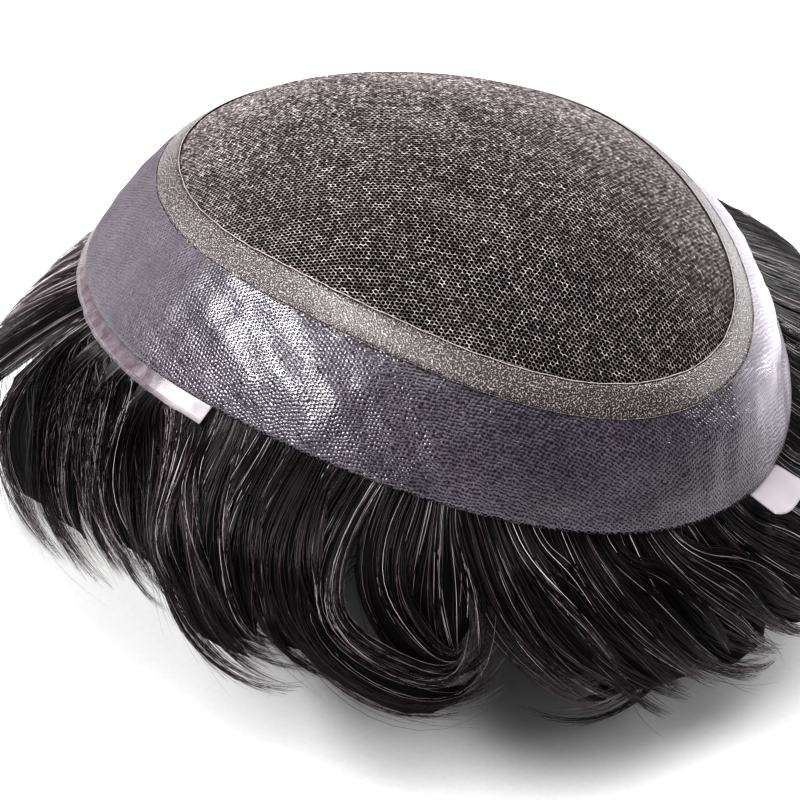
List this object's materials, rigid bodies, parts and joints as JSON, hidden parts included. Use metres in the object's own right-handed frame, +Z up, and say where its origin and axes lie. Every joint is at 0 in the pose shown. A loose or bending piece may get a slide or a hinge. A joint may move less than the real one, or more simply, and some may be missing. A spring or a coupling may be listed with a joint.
{
  "type": "toupee hairpiece",
  "caption": "Men's toupee shown scalp side out: domed lace crown, wide skin band, clear edge strip and tab, wavy dark hair hanging from under the edge.",
  "frame": {"origin": "top of the hollow for the head, on the underside of the hair mat below the crown's middle", "axes": "+Z up out of the crown, -Y towards the front hairline, +X towards the wearer's left"},
  "size_m": [0.2098, 0.2197, 0.1027],
  "materials": {
    "lace": "fine hexagonal net of brown-grey polyester thread over dark hair",
    "lace_trim": "folded double net, mauve-brown, with a pale thread along both edges",
    "skin": "thin polyurethane skin, glossy, embossed with fine rows of dots",
    "clear_film": "clear soft film, creased and shiny",
    "hair": "off-black human hair with about a tenth of grey strands"
  },
  "bodies": {
    "root": {"lace_crown": "lace", "lace_border": "lace_trim", "skin_band": "skin", "front_clear_strip": "clear_film", "rear_clear_tab": "clear_film", "hair_underlayer": "hair", "hair_front": "hair", "hair_left": "hair", "hair_back": "hair", "hair_right": "hair"}
  },
  "joints": []
}
